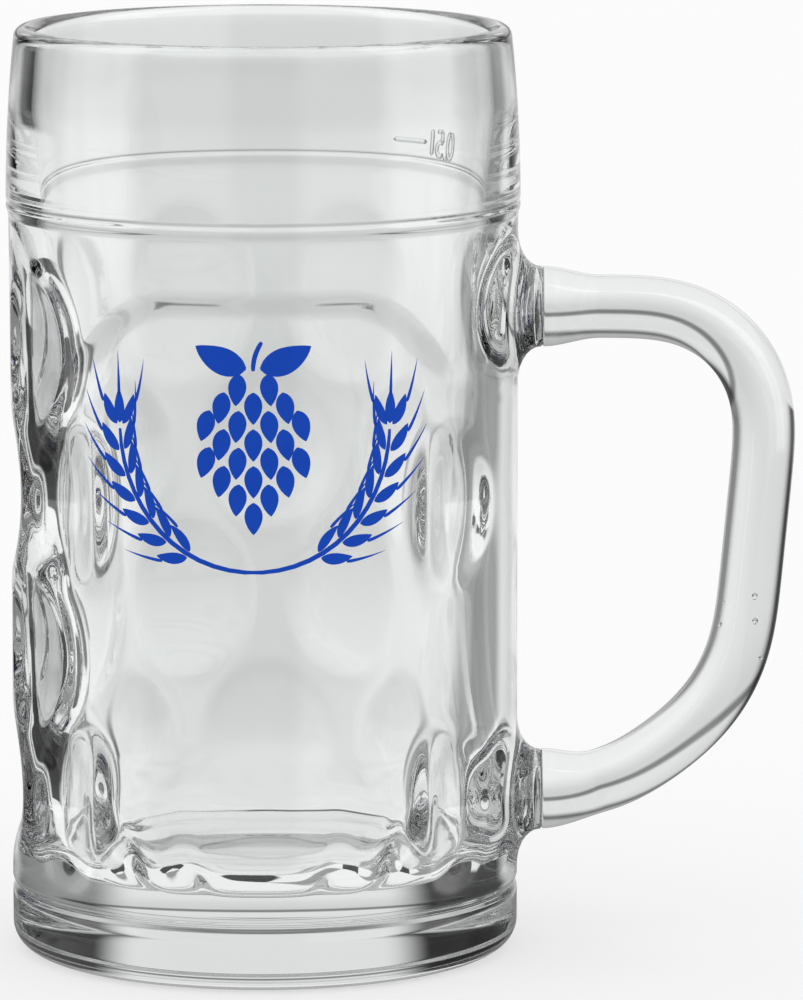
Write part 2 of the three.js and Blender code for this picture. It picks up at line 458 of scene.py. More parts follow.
@dataclass
class DimpledBody:
    """The body of the mug: one skin up the dimpled outside, over the lip and down to the floor.

    A fade tells how far past the panel's edge a thing begins to show and where all of it is there. A petal of
    the floor's corner has its middle and its width in degrees, then its rise.
    """

    height: float = 160.0
    radius: float = 43.8
    base_corner: float = 4.6
    base_middle: Span = (4.0, 32.0)
    base_push: float = 0.5
    push_edge: Span = (36.5, 33.0)
    standing_start: float = 34.0
    band_height: float = 11.5
    groove_depth: float = 0.5
    groove_width: float = 2.4
    band_ease: float = 16.0
    step_height: float = 127.5
    step_rise: float = 2.0
    step_radius: float = 44.2
    ring_line_depth: float = 0.22
    ring_line_width: float = 1.3
    ring_line_share: float = 0.05
    rim_radius: float = 42.7
    rim_wall: float = 3.7
    bore_radius: float = 37.1
    floor_radius: float = 36.1
    floor_middle: float = 3.0
    floor_thickness: float = 13.6
    floor_corner: float = 20.0
    floor_corner_rise: float = 8.0
    floor_corner_power: float = 0.667
    neck_radius: float = 39.7
    neck_bottom: float = 106.0
    neck_top: float = 146.0
    row_heights: tuple[float, ...] = (28.3, 54.4, 80.5, 106.6)
    dimples_per_row: int = 8
    dimple_radius: float = 13.5
    dimple_depth: float = 3.2
    dimple_edge: float = 0.2
    dimple_fade: Span = (-1.0, 5.0)
    bulge_height: float = 2.3
    bulge_radius: float = 14.0
    bulge_edge: float = 0.2
    bulge_fade: Span = (-5.0, 10.0)
    petals: tuple[tuple[float, float, float], ...] = (
        (20.0, 5.5, 4.5),
        (37.0, 4.5, 6.0),
        (90.0, 8.0, 2.0),
        (135.0, 9.0, 2.0),
        (180.0, 9.0, 2.0),
    )
    petal_fade: float = 14.0
    panel_width: float = 58.0
    panel_bottom: float = 21.0
    panel_top: float = 117.0
    panel_corner: float = 15.0
    panel_recess: float = 0.92
    panel_ease: float = 2.0
    panel_side_ease: float = 8.0
    panel_end: Span = (26.0, 44.0)
    strip_half_angle: float = 30.0
    handle_azimuth: float = 90.0
    seam_x: float = 48.0
    seam_half_width: float = 8.8
    seam_half_height: float = 6.9
    seam_round: float = 0.3
    flare_reach: float = 1.9
    block_half_height: float = 13.8
    columns: int = 336
    block_columns: int = 25
    block_rows: int = 15
    cap_share: float = 0.4
    seam_share: float = 0.47
    flare_share: float = 0.9
    counts: RingCounts = RingCounts()

    @property
    def groove_top(self) -> float:
        """Height of the upper edge of the groove over the band."""
        return self.band_height + self.groove_width / 2

    @property
    def corner_top(self) -> float:
        """Height at which the floor's corner leaves the wall."""
        return self.floor_thickness + self.floor_corner_rise

    @property
    def panel_middle(self) -> float:
        """Height of the panel's middle."""
        return (self.panel_bottom + self.panel_top) / 2

    def dimple_centres(self) -> np.ndarray:
        """Places of the dimples.

        Returns:
            Pairs of azimuth and height. Rows are staggered by half a pitch, and the panel and the strip under
            the handle have none.
        """
        pitch = 360.0 / self.dimples_per_row
        place, row = np.meshgrid(np.arange(self.dimples_per_row), np.arange(len(self.row_heights)))
        azimuth = ((place + (row % 2) / 2) * pitch + 180.0) % 360.0 - 180.0
        edge = math.degrees(math.asin(self.panel_width / 2 / self.radius))
        on_strip = np.abs(azimuth - self.handle_azimuth) < self.strip_half_angle
        dimpled = ~on_strip & (np.abs(azimuth) >= edge)
        heights = np.array(self.row_heights)[row]
        return np.stack([azimuth[dimpled], heights[dimpled]], axis=-1)

    def panel_distance(self, azimuth: np.ndarray, height: np.ndarray) -> np.ndarray:
        """Distance from the panel's edge, a rectangle with round corners when seen from the front.

        Args:
            azimuth: Degrees from the panel's middle.
            height: Height above the table.

        Returns:
            Millimetres, under zero inside the edge and a large distance behind the mug.
        """
        turn = np.radians(azimuth)
        across = np.abs(self.radius * np.sin(turn)) - self.panel_width / 2 + self.panel_corner
        half_height = (self.panel_top - self.panel_bottom) / 2
        along = np.abs(height - self.panel_middle) - half_height + self.panel_corner
        outside = np.hypot(np.maximum(across, 0.0), np.maximum(along, 0.0))
        inside = np.minimum(np.maximum(across, along), 0.0)
        return np.where(np.cos(turn) > 0.0, outside + inside - self.panel_corner, self.radius)

    def off_panel(self, azimuth: np.ndarray, fade: Span) -> np.ndarray:
        """How much of the dimples the panel leaves.

        Args:
            azimuth: Degrees from the panel's middle.
            fade: Where they begin past the panel's edge, seen from the front, and where they are whole.

        Returns:
            A smooth rise over the fade, and one behind the mug.
        """
        turn = np.radians(azimuth)
        beside = np.abs(self.radius * np.sin(turn)) - self.panel_width / 2
        return np.where(np.cos(turn) > 0.0, smooth(*fade, beside), 1.0)

    def bowls(self, azimuth: np.ndarray, height: np.ndarray, radius: float, edge: float) -> np.ndarray:
        """Depth of round bowls at the dimples' places, where a bowl's middle is one deep.

        A bowl is one less the squared share of its radius, measured along the wall. It is softened where it
        runs out, as half the sum of the bowl and the root of its square and the edge's. The bowls add up.

        Args:
            azimuth: Degrees from the panel's middle.
            height: Height above the table.
            radius: Radius of a bowl.
            edge: How soft its edge is.

        Returns:
            The depth.
        """
        centres = self.dimple_centres().reshape(-1, 2, *([1] * np.ndim(azimuth)))
        turn = (azimuth - centres[:, 0] + 180.0) % 360.0 - 180.0
        away = (np.radians(turn) * self.radius) ** 2 + (height - centres[:, 1]) ** 2
        bowl = 1.0 - away / radius**2
        soft = (bowl + np.sqrt(bowl**2 + edge**2)) / 2
        return soft.sum(axis=0)

    def hollow(self, azimuth: np.ndarray, height: np.ndarray) -> np.ndarray:
        """How far the outside lies in from the plain wall.

        The dimples are bowls that ease out above the base band and fade out at the panel. The panel itself is
        sunk a little, and its soft edge is wider beside its middle than near its ends.

        Args:
            azimuth: Degrees from the panel's middle.
            height: Height above the table.

        Returns:
            Millimetres towards the axis.
        """
        dimples = self.dimple_depth * self.bowls(azimuth, height, self.dimple_radius, self.dimple_edge)
        dimples *= smooth(self.groove_top, self.groove_top + self.band_ease, height)
        dimples *= self.off_panel(azimuth, self.dimple_fade)
        near_end = smooth(*self.panel_end, np.abs(height - self.panel_middle))
        ease = self.panel_side_ease + (self.panel_ease - self.panel_side_ease) * near_end
        return dimples + self.panel_recess * smooth(1.0, -1.0, self.panel_distance(azimuth, height) / ease)

    def bulge(self, azimuth: np.ndarray, height: np.ndarray) -> np.ndarray:
        """How far the inside swells behind the dimples.

        A swell is a bowl turned inside out, a little wider than its dimple. The panel fades the swells out.

        Args:
            azimuth: Degrees from the panel's middle.
            height: Height above the table.

        Returns:
            Millimetres towards the axis.
        """
        swells = self.bulge_height * self.bowls(azimuth, height, self.bulge_radius, self.bulge_edge)
        return swells * self.off_panel(azimuth, self.bulge_fade)

    def foot_lift(self, azimuth: np.ndarray) -> np.ndarray:
        """How far the floor's corner climbs the wall round the mug.

        The corner climbs in petals, each a bell curve of the angle from its middle, the same on both sides.

        Args:
            azimuth: Degrees from the panel's middle.

        Returns:
            Millimetres upwards.
        """
        place, width, rise = np.array(self.petals).T[:, :, None]
        from_panel = np.abs((azimuth + 180.0) % 360.0 - 180.0)
        return (rise * np.exp(-(((from_panel - place) / width) ** 2))).sum(axis=0)

    def outer_radius(self, azimuth: np.ndarray, height: np.ndarray) -> np.ndarray:
        """Radius of the outside over the dimpled zone."""
        return self.radius - self.hollow(azimuth, height)

    def rim_curve(self, share: np.ndarray) -> tuple[np.ndarray, np.ndarray]:
        """Outside of the rim zone, a curve of second degree from the step to the lip.

        Args:
            share: 0 at the step, 1 at the lip.

        Returns:
            Radius and height.
        """
        low = self.step_height + self.step_rise
        high = self.height - self.rim_wall / 2
        middle = (self.step_height + self.height) / 2
        radius = self.step_radius + (self.rim_radius - self.step_radius) * share**2
        height = (1 - share) ** 2 * low + 2 * share * (1 - share) * middle + share**2 * high
        return radius, height

    def outer_profile(self) -> tuple[np.ndarray, np.ndarray]:
        """Outside in section from the base's middle to the lip, without dimples.

        The base is pushed up a little inside its standing ring, the bottom edge is a quarter round, the
        groove over the band is a cosine valley and the step a smooth rise. A fine line, the square of a sine,
        runs over the step.

        Returns:
            Radius and height of each ring, from the base up.
        """
        ring = self.radius - self.base_corner
        base = np.concatenate([
            np.linspace(*self.base_middle, self.counts.base),
            np.linspace(self.standing_start, ring, self.counts.standing),
        ])
        turn = np.radians(onward(-90.0, 0.0, self.counts.bottom_edge))
        groove_foot = self.band_height - self.groove_width / 2
        band = np.concatenate([
            onward(self.base_corner, groove_foot, self.counts.band),
            onward(groove_foot, self.groove_top, self.counts.groove),
        ])
        valley = np.cos(np.pi * np.clip((band - self.band_height) / self.groove_width, -0.5, 0.5)) ** 2
        low, high = (
            (seam.value - self.block_half_height, seam.value + self.block_half_height)
            for seam in (Seam.LOWER, Seam.UPPER)
        )
        wall = np.concatenate([
            np.linspace(*low, 2 * self.block_rows + 1),
            onward(low[1], high[0], self.counts.between_welds + 1)[:-1],
            np.linspace(*high, 2 * self.block_rows + 1),
            onward(high[1], self.step_height, self.counts.under_step),
        ])
        step = onward(0.0, 1.0, self.counts.step)
        rim_radius, rim_height = self.rim_curve(np.concatenate([
            onward(0.0, self.ring_line_share, self.counts.ring_line),
            onward(self.ring_line_share, 1.0, self.counts.rim),
        ]))
        up = (rim_height - self.step_height - self.step_rise) / self.ring_line_width
        radius = np.concatenate([
            base,
            ring + self.base_corner * np.cos(turn),
            self.radius - self.groove_depth * valley,
            np.full(len(wall), self.radius),
            self.radius + (self.step_radius - self.radius) * smooth(0.0, 1.0, step),
            rim_radius - self.ring_line_depth * np.sin(np.pi * np.clip(up, 0.0, 1.0)) ** 2,
        ])
        height = np.concatenate([
            self.base_push * smooth(*self.push_edge, base),
            self.base_corner + self.base_corner * np.sin(turn),
            band,
            wall,
            self.step_height + self.step_rise * step,
            rim_height,
        ])
        return radius, height

    def inner_profile(self) -> tuple[np.ndarray, np.ndarray, np.ndarray]:
        """Inside in section from the lip to the floor's middle, without bulges.

        The lip is a half round, the neck a smooth fall from the rim's bore to the body's, and the floor's
        corner a quarter of an oval that starts gently from the wall: its radius falls with the cosine of a
        quarter turn and its height with a power of the sine.

        Returns:
            Radius, height and how much of a bulge each ring takes.
        """
        lip = self.rim_wall / 2
        turn = np.radians(onward(0.0, 180.0, self.counts.lip))
        rim = onward(self.height - lip, self.neck_top, self.counts.inner_rim)
        neck = onward(self.neck_top, self.neck_bottom, self.counts.neck)
        wall = onward(self.neck_bottom, self.corner_top, self.counts.inner_wall)
        corner = np.radians(onward(0.0, 90.0, self.counts.floor_corner))
        floor = onward(self.floor_radius - self.floor_corner, self.floor_middle, self.counts.floor)
        fall = smooth(self.neck_top, self.neck_bottom, neck)
        inner_rim = self.rim_radius - self.rim_wall
        radius = np.concatenate([
            self.rim_radius - lip + lip * np.cos(turn),
            np.interp(rim, [self.neck_top, self.height - lip], [self.neck_radius, inner_rim]),
            self.neck_radius + (self.bore_radius - self.neck_radius) * fall,
            np.interp(wall, [self.corner_top, self.neck_bottom], [self.floor_radius, self.bore_radius]),
            self.floor_radius - self.floor_corner + self.floor_corner * np.cos(corner),
            floor,
        ])
        height = np.concatenate([
            self.height - lip + lip * np.sin(turn),
            rim,
            neck,
            wall,
            self.corner_top - self.floor_corner_rise * np.sin(corner) ** self.floor_corner_power,
            np.full(len(floor), self.floor_thickness),
        ])
        swell = np.concatenate([
            np.zeros(len(turn) + len(rim)),
            fall,
            np.ones(len(wall)),
            np.cos(corner),
            np.zeros(len(floor)),
        ])
        return radius, height, swell

    def weld_block(self, seam: Seam) -> np.ndarray:
        """Points of the wall around a weld, on the grid's own columns and rows.

        The grid is taken as squares round the weld. The inner squares are drawn into ovals: first the flat
        face of the weld, then its rounded edge, then a flare that is a concave quarter round down to the
        wall. From the flare's foot to the block's edge the ovals ease back into squares.

        Args:
            seam: Which weld.

        Returns:
            Points by row, column and axis.
        """
        half_angle = math.radians(self.block_columns * 360.0 / self.columns)
        aside, upward = np.meshgrid(
            np.linspace(-1.0, 1.0, 2 * self.block_columns + 1),
            np.linspace(-1.0, 1.0, 2 * self.block_rows + 1),
        )
        square = np.maximum(np.abs(aside), np.abs(upward))
        scale = np.where(square > 0.0, square, 1.0)
        turn = np.arctan2(upward, aside)
        edge = self.seam_round / self.seam_half_height
        knots = [0.0, self.cap_share, self.seam_share]
        opened = share_of(self.seam_share, self.flare_share, square)
        reach = np.interp(square, knots, [0.0, 1.0 - edge, 1.0]) + (self.flare_reach - 1.0) * opened**2
        ease = share_of(self.flare_share, 1.0, square)
        across = (1.0 - ease) * reach * self.seam_half_width * np.cos(turn)
        across += ease * self.radius * np.sin(half_angle * aside / scale)
        along = (1.0 - ease) * reach * self.seam_half_height * np.sin(turn)
        along += ease * self.block_half_height * upward / scale
        angle = np.arcsin(across / self.radius)
        wall = self.outer_radius(np.degrees(angle) + self.handle_azimuth, seam.value + along)
        rise = quarter_round(share_of(self.flare_reach, 1.0, reach))
        face = self.seam_x - self.seam_round * quarter_round(share_of(1.0 - edge, 1.0, reach))
        out = wall * np.cos(angle) * (1.0 - rise) + face * rise
        side = wall * np.sin(angle) * (1.0 - rise) + across * rise
        return np.stack([out, side, seam.value + along], axis=-1)

    def build(self, materials: list[bpy.types.Material]) -> bpy.types.Object:
        """Builds the body as one closed skin of rings.

        Args:
            materials: Materials of the glass and of the welds.

        Returns:
            The body's object.
        """
        outer_radius, outer_height = self.outer_profile()
        inner_radius, inner_height, swell = self.inner_profile()
        angle = np.linspace(-np.pi, np.pi, self.columns, endpoint=False)
        azimuth = np.degrees(angle) + self.handle_azimuth
        dimpled = (outer_height > self.groove_top) & (outer_height < self.step_height)
        turn, level = np.meshgrid(azimuth, outer_height)
        outside = outer_radius[:, None] - np.where(dimpled[:, None], self.hollow(turn, level), 0.0)
        climb = smooth(self.corner_top + self.petal_fade, self.corner_top, inner_height)
        climb *= share_of(self.floor_thickness, self.corner_top, inner_height)
        turn, inner_level = np.meshgrid(azimuth, inner_height)
        inner_level += climb[:, None] * self.foot_lift(azimuth)
        inside = inner_radius[:, None] - swell[:, None] * self.bulge(turn, inner_level)
        rings = around(np.concatenate([outside, inside]), angle, np.concatenate([level, inner_level]))
        zones = np.full((len(rings) - 1, self.columns), Zone.GLASS)
        middle = self.columns // 2
        beside = slice(middle - self.block_columns, middle + self.block_columns + 1)
        cap_columns = round(self.cap_share * self.block_columns)
        cap_rows = round(self.cap_share * self.block_rows)
        for seam in Seam:
            row = int(np.argmin(np.abs(outer_height - seam.value)))
            rings[row - self.block_rows : row + self.block_rows + 1, beside] = self.weld_block(seam)
            zones[row - cap_rows : row + cap_rows, middle - cap_columns : middle + cap_columns] = Zone.WELD
        draft = Draft()
        draft.add_skin(rings, zones)
        body = draft.to_object("glass_body", materials)
        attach(body, "root")
        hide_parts("mug_body")
        return body


@dataclass
class WeldedHandle:
    """The handle: an oval rod carried along a smooth loop between the two welds, with a few seeds in it.

    A seed has its share of the way along, its places across the thickness and the width, its size and its
    stretch.
    """

    body: DimpledBody
    grip_half_thickness: float = 5.4
    grip_half_width: float = 7.8
    root_flare: float = 10.0
    shoulder_reach: float = 40.6
    elbow_reach: float = 34.2
    elbow_rise: float = 17.0
    lower_arm_reach: float = 11.5
    shoulder_bend: float = 20.0
    elbow_bend: float = 30.0
    lower_arm_bend: float = 25.0
    bend_points: int = 61
    ease_length: float = 5.0
    ease_reach: float = 3.0
    run_out: float = 20.0
    fineness: int = 8
    edge_angles: tuple[float, ...] = (0.0, 30.0, 60.0)
    cap_size: float = 0.5
    seeds: tuple[tuple[float, float, float, float, float], ...] = (
        (0.592, 0.10, -0.30, 0.28, 2.4),
        (0.606, -0.42, -0.10, 0.20, 1.5),
        (0.622, 0.18, -0.45, 0.34, 1.8),
        (0.640, -0.05, 0.35, 0.18, 3.0),
        (0.668, 0.30, 0.05, 0.24, 1.6),
        (0.318, -0.25, 0.40, 0.20, 2.2),
    )
    seed_sides: int = 12
    seed_rings: int = 7
    seed_end: float = 75.0
    steps: int = 260
    sides: int = 72

    def corners(self) -> tuple[np.ndarray, np.ndarray]:
        """Corners of the middle line.

        Returns:
            Distance from the seams and height of each corner, and the bend at each between the two ends.
        """
        upper, lower = Seam.UPPER.value, Seam.LOWER.value
        places = np.array([
            [0.0, upper],
            [self.shoulder_reach, upper],
            [self.elbow_reach, lower + self.elbow_rise],
            [self.lower_arm_reach, lower],
            [0.0, lower],
        ])
        return places, np.array([self.shoulder_bend, self.elbow_bend, self.lower_arm_bend])

    def middle_line(self) -> np.ndarray:
        """Middle line of the handle: straight runs and tangent arcs, then eased by a bell-weighted average.

        Returns:
            Points by step, with X and Z, evenly spaced from the upper seam to the lower one.
        """
        places, bends = self.corners()
        before = unit(places[:-2] - places[1:-1])
        after = unit(places[2:] - places[1:-1])
        half = np.arccos((before * after).sum(axis=1)) / 2
        inward = unit(before + after)
        aside = unit(after - before)
        centre = places[1:-1] + inward * (bends / np.sin(half))[:, None]
        sweep = np.linspace(-1.0, 1.0, self.bend_points)[None, :] * (np.pi / 2 - half)[:, None]
        arcs = centre[:, None] + bends[:, None, None] * (
            aside[:, None] * np.sin(sweep)[..., None] - inward[:, None] * np.cos(sweep)[..., None]
        )
        run_out = np.array([[self.run_out, 0.0]])
        rough = np.concatenate([places[:1] - run_out, arcs.reshape(-1, 2), places[-1:] - run_out])
        length = travelled(rough)
        even = np.linspace(0.0, length[-1], self.fineness * self.steps)
        spread = int(self.ease_reach * self.ease_length / (even[1] - even[0]))
        bell = np.exp(-0.5 * (np.arange(-spread, spread + 1) / (spread / self.ease_reach)) ** 2)
        columns = read_off(even, length, rough).T
        eased = np.stack([np.convolve(column, bell / bell.sum(), "valid") for column in columns], axis=-1)
        eased = eased[eased[:, 0] >= 0.0]
        length = travelled(eased)
        middle = read_off(np.linspace(0.0, length[-1], self.steps), length, eased)
        middle[[0, -1], 0] = 0.0
        return middle + np.array([self.body.seam_x, 0.0])

    def build(self, materials: list[bpy.types.Material]) -> bpy.types.Object:
        """Builds the handle as oval rings across the middle line, closed by the flat faces of the welds.

        Near each seam the oval swells to the seam's own, and its edge at the seam is rounded.

        Args:
            materials: Materials of the glass and of the welds.

        Returns:
            The handle's object.
        """
        middle = self.middle_line()
        along = unit(np.gradient(middle, axis=0))
        along[[0, -1]] = [[1.0, 0.0], [-1.0, 0.0]]
        length = travelled(middle)
        end = length[-1]
        rounding = self.body.seam_round
        edge = np.sin(np.radians(self.edge_angles))
        shrink = rounding / self.body.seam_half_height * quarter_round(1.0 - edge)
        lead = np.concatenate([[0.0], rounding * edge])
        lead_size = np.concatenate([[self.cap_size], 1.0 - shrink])
        place = np.concatenate([lead, np.linspace(rounding, end - rounding, self.steps), end - lead[::-1]])
        size = np.concatenate([lead_size, np.ones(self.steps), lead_size[::-1]])
        centre = read_off(place, length, middle)
        heading = read_off(place, length, along)
        swell = smooth(self.root_flare, 0.0, np.minimum(place, end - place))
        thick = self.grip_half_thickness + (self.body.seam_half_height - self.grip_half_thickness) * swell
        wide = self.grip_half_width + (self.body.seam_half_width - self.grip_half_width) * swell
        turn = full_turn(self.sides)
        out = (size * thick)[:, None] * np.cos(turn)
        rings = np.stack([
            centre[:, :1] - heading[:, 1:] * out,
            (size * wide)[:, None] * np.sin(turn),
            centre[:, 1:] + heading[:, :1] * out,
        ], axis=-1)
        zones = np.full((len(rings) - 1, self.sides), Zone.GLASS)
        zones[[0, -1]] = Zone.WELD
        draft = Draft()
        draft.add_skin(rings[:, ::-1], zones)
        self.add_seeds(draft, middle, along)
        handle = draft.to_object("glass_handle", materials)
        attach(handle, "root")
        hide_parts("handle")
        return handle

    def add_seeds(self, draft: Draft, middle: np.ndarray, along: np.ndarray) -> None:
        """Adds the seeds, small bubbles drawn out along the handle: ovals whose faces look into the hollow.

        Args:
            draft: The handle's draft.
            middle: The handle's middle line.
            along: Heading of the line at each of its points.
        """
        turn = full_turn(self.seed_sides)
        rise = np.radians(np.linspace(-self.seed_end, self.seed_end, self.seed_rings))[:, None]
        ball = around(np.cos(rise), turn, np.sin(rise) + np.zeros(self.seed_sides))
        for share, out, aside, size, stretch in self.seeds:
            step = round(share * (len(middle) - 1))
            heading = along[step]
            outward = np.array([-heading[1], heading[0]])
            place = middle[step] + outward * out * self.grip_half_thickness
            thin, across, tall = np.moveaxis(ball * [size, size, stretch * size], -1, 0)
            draft.add_skin(np.stack([
                place[0] + outward[0] * thin + heading[0] * tall,
                aside * self.grip_half_width + across,
                place[1] + outward[1] * thin + heading[1] * tall,
            ], axis=-1))


class Stroke(Enum):
    """How the width of a printed stroke runs along it: a skew towards its root, and how full its ends are."""

    LEAF = (0.80, 0.75)
    AWN = (0.33, 0.85)
    STEM = (1.00, 0.12)


def mirrored(rows: np.ndarray) -> np.ndarray:
    """Strokes mirrored from side to side: root and bend change sign, and the heading is taken from 180."""
    return rows * [-1.0, 1.0, -1.0, 1.0, -1.0, 1.0] + [0.0, 0.0, 180.0, 0.0, 0.0, 0.0]


@dataclass
class PanelPrint:
    """The enamel print on the panel: a hop cone with two leaves, in an open wreath of two barley ears.

    A stroke is a row of six: root across, root up, heading, length, bend and half width. Headings are in
    degrees from the right, and the bend is the degrees by which a stroke turns to the left.
    """

    body: DimpledBody
    middle_across: float = -1.0
    middle_height: float = 91.0
    film_over: float = 0.05
    film_under: float = 0.03
    cone_rows: tuple[int, ...] = (2, 3, 4, 3, 4, 3, 2, 1)
    cone_top: float = 14.5
    scale_pitch: float = 5.0
    row_pitch: float = 3.1
    scale_length: float = 5.4
    scale_half_width: float = 1.56
    scale_lean: float = 2.2
    leaf_across: float = 1.2
    leaf_over: float = 0.9
    leaf_heading: float = 12.0
    leaf_length: float = 9.5
    leaf_bend: float = 22.0
    leaf_half_width: float = 2.3
    stalk_over: float = 0.5
    stalk_heading: float = 92.0
    stalk_length: float = 5.2
    stalk_bend: float = -38.0
    ear_bend_radius: float = 24.3
    ear_foot: float = -19.0
    ear_low: float = 26.0
    ear_high: float = 88.0
    stem_lap: float = 3.0
    grain_pairs: int = 7
    grain_length: float = 5.6
    grain_half_width: float = 0.98
    grain_angle: float = 36.0
    grain_gap: float = 1.0
    grain_bend_share: float = 0.6
    inner_plump: float = 0.85
    awn_length: float = 7.5
    awn_half_width: float = 0.28
    awn_bend_share: float = 0.3
    awn_turn_share: float = 0.45
    stem_half_width: float = 0.42
    tip_share: float = 0.004
    stations: int = 15
    lanes: int = 4

    def cone(self) -> list[tuple[Stroke, np.ndarray]]:
        """Strokes of the hop cone: staggered rows of scales that hang down, two leaves and a stalk.

        Returns:
            Each kind of stroke with its rows.
        """
        root = np.array([
            ((place - (count - 1) / 2) * self.scale_pitch, self.cone_top - row * self.row_pitch)
            for row, count in enumerate(self.cone_rows)
            for place in range(count)
        ])
        hang = -90.0 + self.scale_lean * root[:, 0]
        fixed = np.array([self.scale_length, 0.0, self.scale_half_width])
        scales = np.column_stack([root, hang, np.tile(fixed, (len(root), 1))])
        leaf = np.array([[
            self.leaf_across,
            self.cone_top + self.leaf_over,
            self.leaf_heading,
            self.leaf_length,
            self.leaf_bend,
            self.leaf_half_width,
        ]])
        stalk = np.array([[
            0.0,
            self.cone_top + self.stalk_over,
            self.stalk_heading,
            self.stalk_length,
            self.stalk_bend,
            self.stem_half_width,
        ]])
        return [(Stroke.LEAF, np.concatenate([scales, leaf, mirrored(leaf)])), (Stroke.STEM, stalk)]

    def on_bend(self, turn: np.ndarray | float) -> np.ndarray:
        """Points on the circle that both stems follow, by degrees from its lowest point to the right."""
        arc = np.radians(turn)
        across = self.ear_bend_radius * np.sin(arc)
        return np.stack([across, self.ear_foot + self.ear_bend_radius * (1.0 - np.cos(arc))], axis=-1)

    def ear(self) -> list[tuple[Stroke, np.ndarray]]:
        """Strokes of the right-hand ear: a stem on an arc, grains in pairs beside it and an awn on each.

        Returns:
            Each kind of stroke with its rows.
        """
        turn = np.linspace(self.ear_low, self.ear_high, self.grain_pairs)
        grains = []
        awns = []
        for lean in (-self.grain_angle, self.grain_angle, 0.0):
            used = turn[-1:] if lean == 0.0 else turn
            heading = used + lean
            aim = np.radians(heading)
            way = np.stack([np.cos(aim), np.sin(aim)], axis=-1)
            full = np.ones_like(heading)
            half_width = self.grain_half_width * (self.inner_plump if lean > 0.0 else 1.0)
            grains.append(np.column_stack([
                self.on_bend(used) + self.grain_gap * way,
                heading,
                self.grain_length * full,
                -self.grain_bend_share * lean * full,
                half_width * full,
            ]))
            awns.append(np.column_stack([
                self.on_bend(used) + self.grain_length * way,
                heading - self.awn_turn_share * lean,
                self.awn_length * full,
                -self.awn_bend_share * lean * full,
                self.awn_half_width * full,
            ]))
        bend = self.ear_high + self.stem_lap
        length = self.ear_bend_radius * math.radians(bend)
        foot = self.on_bend(-self.stem_lap)
        stem = np.array([[*foot, -self.stem_lap, length, bend, self.stem_half_width]])
        return [
            (Stroke.LEAF, np.concatenate(grains)),
            (Stroke.AWN, np.concatenate(awns)),
            (Stroke.STEM, stem),
        ]

    def outline(self, kind: Stroke, rows: np.ndarray) -> np.ndarray:
        """Lays out strokes on the flat: each follows a circular arc, and its half width is a powered sine.

        Args:
            kind: How the width runs.
            rows: The strokes' rows.

        Returns:
            Points by stroke, station, lane from the left edge to the right, and axis.
        """
        share = np.linspace(0.0, 1.0, self.stations)
        across, up, heading, length, bend, half_width = rows.T[:, :, None]
        half_turn = np.radians(bend) * share / 2
        chord = length * share * np.sinc(half_turn / np.pi)
        aim = np.radians(heading) + half_turn
        skew, fullness = kind.value
        inner = np.clip(share, self.tip_share, 1.0 - self.tip_share)
        width = half_width * np.sin(np.pi * inner**skew) ** fullness
        lane = np.linspace(-1.0, 1.0, self.lanes)
        end = np.radians(heading) + 2.0 * half_turn
        place_across = (across + chord * np.cos(aim))[..., None] + (width * np.sin(end))[..., None] * lane
        place_up = (up + chord * np.sin(aim))[..., None] - (width * np.cos(end))[..., None] * lane
        return np.stack([place_across, place_up], axis=-1)

    def wrap(self, flat: np.ndarray, lift: float) -> np.ndarray:
        """Lays flat points round the panel.

        Args:
            flat: Points with distances across and up from the print's middle.
            lift: How far they lie out from the wall.

        Returns:
            Points in space.
        """
        azimuth = np.degrees((flat[..., 0] + self.middle_across) / self.body.radius)
        height = flat[..., 1] + self.middle_height
        radius = self.body.outer_radius(azimuth, height) + lift
        return around(radius, np.radians(azimuth - self.body.handle_azimuth), height)

    def build(self, finish: EnamelFinish) -> bpy.types.Object:
        """Builds the print as thin closed films, each a flat ring of lanes carried along its stroke.

        Args:
            finish: The enamel's finish.

        Returns:
            The print's object.
        """
        draft = Draft()
        right = self.ear()
        left = [(kind, mirrored(rows)) for kind, rows in right]
        for kind, rows in [*self.cone(), *right, *left]:
            flat = self.outline(kind, rows)
            over = self.wrap(flat, self.film_over)
            under = self.wrap(flat[:, :, ::-1], -self.film_under)
            for rings in np.concatenate([over, under], axis=2):
                draft.add_skin(rings)
        print_film = draft.to_object("panel_print", [finish.material()], rounded=False)
        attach(print_film, "root")
        return print_film


